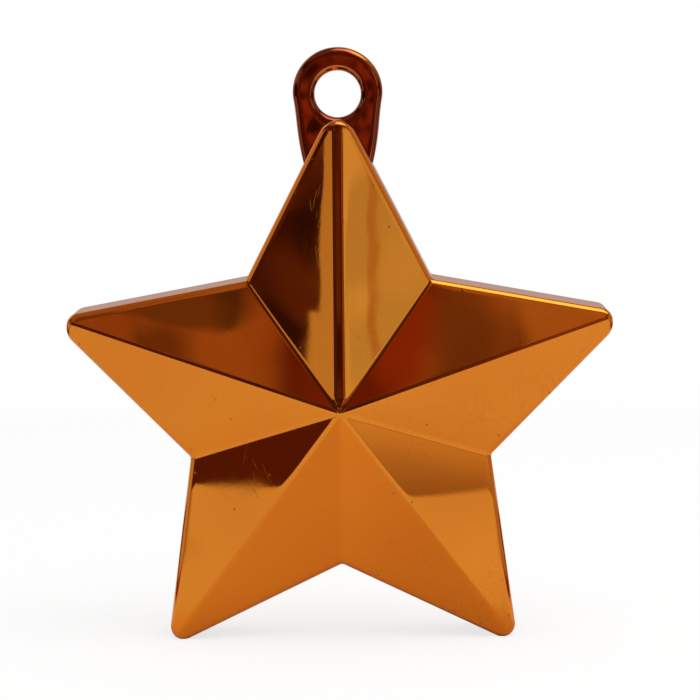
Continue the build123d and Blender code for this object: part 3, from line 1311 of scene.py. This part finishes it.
@dataclass(frozen=True)
class Studio:
    """Pale floor, white surroundings, a soft lamp overhead and cards for the metal to reflect, in metres."""

    cards: tuple[Card, ...] = CARDS
    card_steps: int = 25
    mottle_levels: Span = (0.38, 0.62)
    middle: Triple = (0.0, 0.0, 0.055)
    floor_reach: float = 2.0
    floor_front: float = 0.38
    floor_colour: Colour = (0.95, 0.945, 0.935)
    floor_glow: float = 0.75
    floor_fade: Span = (0.16, 0.45)
    bounce_left: Colour = (0.95, 0.81, 0.63)
    bounce_right: Colour = (0.84, 0.70, 0.53)
    bounce_middle: Span = (-0.02, 0.02)
    bounce_fade: Span = (0.095, 0.055)
    paper_half_width: Span = (0.13, 0.19)
    paper_corner: Span = (0.0, 0.05)
    paper_rear: Span = (0.34, 0.24)
    table_colour: Colour = (0.26, 0.07, 0.035)
    ambient: float = 0.74
    lamp_place: Triple = (0.24, -0.2, 0.85)
    lamp_size: float = 0.6
    lamp_power: float = 3.4

    def seen_white(self, graph: Graph) -> Value:
        """Returns 1 for camera, mirror and glass rays, and 0 for all others."""
        path = graph.node("ShaderNodeLightPath").outputs
        seen = graph.maths("MAXIMUM", path["Is Camera Ray"], path["Is Glossy Ray"])
        return graph.maths("MAXIMUM", seen, path["Is Transmission Ray"])

    def build_world(self) -> None:
        """Sets the surroundings: white to look at, and an even soft light on the object."""
        world = bpy.data.worlds.new("white_studio")
        world.use_nodes = True
        graph = Graph(world.node_tree)
        white = [{"Color": opaque(WHITE), "Strength": strength} for strength in (self.ambient, 1.0)]
        light, seen = (graph.node("ShaderNodeBackground", None, inputs).outputs[0] for inputs in white)
        graph.surface(graph.blend(self.seen_white(graph), light, seen), "ShaderNodeOutputWorld")
        bpy.context.scene.world = world

    def floor_material(self) -> Material:
        """Makes the floor's look.

        Its paper takes the light and the object's shadow nearby, and turns to the white of the surroundings
        further off. In reflections it is a sheet on a darker table: warm close to the object, in the light
        that the metal throws, and dim at both sides of the sheet.

        Returns:
            The material.
        """
        material, graph = Graph.of_material("pale_floor")
        path = graph.node("ShaderNodeLightPath").outputs
        mirrored = Value(graph, path["Is Glossy Ray"])
        place = graph.place()
        far = graph.value("ShaderNodeVectorMath", {"operation": "LENGTH"}, {0: place}, "Value")
        x, y, _ = graph.axes(place)
        side = x.ramp(*self.bounce_middle)
        bounce = graph.mix(side, opaque(self.bounce_left), opaque(self.bounce_right))
        colour = graph.mix(far.ramp(*self.bounce_fade) * mirrored, opaque(self.floor_colour), bounce)
        paper = graph.node("ShaderNodeBsdfDiffuse", None, {"Color": colour}).outputs[0]
        near_share = self.floor_glow * Value(graph, path["Is Camera Ray"])
        share = graph.maths("MAXIMUM", near_share, far.ramp(*self.floor_fade)) * self.seen_white(graph)
        sheet = graph.blend(share, paper, graph.glow(opaque(WHITE)))
        aside = graph.maths("ABSOLUTE", x)
        beside = aside.ramp(*self.paper_half_width) * (aside + y).ramp(*self.paper_corner)
        table = beside * y.ramp(*self.paper_rear) * mirrored
        graph.surface(graph.blend(table, sheet, graph.glow(opaque(self.table_colour))))
        return material

    def build_floor(self) -> Object:
        """Makes the floor: a level sheet with its front edge a little way before the object.

        Returns:
            The floor.
        """
        reach, front = self.floor_reach, -self.floor_front
        corners = [(-reach, front, 0.0), (reach, front, 0.0), (reach, reach, 0.0), (-reach, reach, 0.0)]
        mesh = bpy.data.meshes.new("studio_floor")
        mesh.from_pydata(corners, [], [(0, 1, 2, 3)])
        mesh.materials.append(self.floor_material())
        floor = placed("studio_floor", mesh)
        return floor

    def card_material(self, card: Card) -> Material:
        """Makes a card's plain glow: a change of tone one way, fading out at the edges.

        Args:
            card: The card.

        Returns:
            The material.
        """
        material, graph = Graph.of_material(card.name)
        shares = graph.axes(graph.node("ShaderNodeUVMap").outputs[0])[:2]
        change = shares[card.across.value]
        start, end = np.array(card.start), np.array(card.end)
        tones = [
            graph.mix(change, opaque(tuple(start * level)), opaque(tuple(end * level)))
            for level in (1.0 - card.mottle, 1.0 + card.mottle)
        ]
        patches = Clouds(card.patches, *self.mottle_levels, 1.0)
        tone = graph.mix(patches.mask(graph, graph.place()), *tones)
        fade: Value | float = 1.0
        for share in shares:
            fade = fade * share.ramp(0.0, card.soft) * share.ramp(1.0, 1.0 - card.soft)
        clear = graph.node("ShaderNodeBsdfTransparent").outputs[0]
        graph.surface(graph.blend(fade, clear, graph.glow(tone)))
        return material

    def build_card(self, card: Card) -> Object:
        """Makes a card as a patch of a sphere around the object, over azimuth and elevation.

        Args:
            card: The card.

        Returns:
            The card's object.
        """
        steps = self.card_steps
        share = np.linspace(0.0, 1.0, steps)
        v, u = np.meshgrid(share, share, indexing="ij")
        height = card.elevation[0] + v * (card.elevation[1] - card.elevation[0])
        shift = card.lean * (height - np.mean(card.elevation))
        azimuth = np.radians(card.azimuth[0] + u * (card.azimuth[1] - card.azimuth[0]) + shift)
        elevation = np.radians(height)
        level = np.cos(elevation)
        way = np.stack([level * np.sin(azimuth), -level * np.cos(azimuth), np.sin(elevation)], axis=-1)
        points = (np.array(self.middle) + card.distance * way).reshape(-1, 3)
        first = (np.arange(steps - 1)[:, None] * steps + np.arange(steps - 1)).ravel()
        quads = np.stack([first, first + 1, first + steps + 1, first + steps], axis=-1)
        mesh = bpy.data.meshes.new(card.name)
        mesh.from_pydata(points.tolist(), [], quads.tolist())
        shares = np.stack([u.ravel(), v.ravel()], axis=-1)[quads.ravel()]
        mesh.uv_layers.new(name="share").data.foreach_set("uv", shares.ravel())
        mesh.materials.append(self.card_material(card))
        made = placed(card.name, mesh)
        for rays in ("camera", "diffuse", "transmission", "volume_scatter", "shadow"):
            setattr(made, f"visible_{rays}", False)
        return made

    def build_lamp(self) -> Object:
        """Hangs one soft square lamp over the object.

        Returns:
            The lamp.
        """
        light = bpy.data.lights.new("overhead_lamp", "AREA")
        light.size = self.lamp_size
        light.energy = self.lamp_power
        lamp = placed("overhead_lamp", light)
        turn = (Vector(self.lamp_place) - Vector(self.middle)).to_track_quat("Z", "Y")
        lamp.matrix_world = Matrix.Translation(self.lamp_place) @ turn.to_matrix().to_4x4()
        return lamp

    def build(self) -> None:
        """Builds the whole studio."""
        self.build_world()
        self.build_floor()
        self.build_lamp()
        for card in self.cards:
            self.build_card(card)
            log.info("placed card %s", card.name)


@dataclass(frozen=True)
class PhotoCamera:
    """Camera at the photograph's viewing angle, aimed at a point in the plane of the front rim."""

    azimuth: float = 0.647
    elevation: float = 5.539
    roll: float = 0.641
    distance: float = 550.0
    pixels_per_mm: float = 5.287
    aim_right: float = 1.962
    aim_up: float = 10.963
    clip_start: float = 0.01

    def build(self, star: StarFrame) -> Object:
        """Makes the camera and sets it as the scene's own.

        Args:
            star: Frame of the star that the camera looks at.

        Returns:
            The camera.
        """
        turn = Matrix.Rotation(math.radians(self.azimuth), 4, "Z")
        turn @= Matrix.Rotation(math.radians(90.0 - self.elevation), 4, "X")
        turn @= Matrix.Rotation(math.radians(-self.roll), 4, "Z")
        aim = Vector((self.aim_right, star.back_y - WALL_DEPTH, star.centre_z + self.aim_up))
        place = (aim + self.distance * turn.col[2].to_3d()) / MM_PER_M
        data = bpy.data.cameras.new("photo_camera")
        data.sensor_fit = "HORIZONTAL"
        data.sensor_width = SENSOR_WIDTH
        data.lens = self.distance * self.pixels_per_mm * SENSOR_WIDTH / IMAGE_WIDTH_PX
        data.clip_start = self.clip_start
        camera = placed("photo_camera", data)
        camera.matrix_world = Matrix.Translation(place) @ turn
        bpy.context.scene.camera = camera
        return camera


def main() -> None:
    """Builds the studio and the pieces in order."""
    logging.basicConfig(level=logging.INFO, format="%(message)s")
    bpy.context.scene.view_settings.view_transform = "Standard"
    star = StarFrame.from_solids()
    outline = StarOutline()
    PhotoCamera().build(star)
    Studio().build()
    metal = MetallisedFinish().material("metallised_orange_film")
    plug_plastic = PlugFinish().material("dull_plug_plastic")
    parts = (
        (FrontShell(star, outline, FacetField(outline)), metal),
        (BackCover(star, outline), metal),
        (HangEye(star), metal),
        (FillPlug(star), plug_plastic),
    )
    for part, material in parts:
        piece = part.build()
        part.dress(piece, material)
        log.info("built %s with %d faces", piece.name, len(piece.data.polygons))
    HiddenSolids().dress(frame["nodes"])


if __name__ == "__main__":
    main()
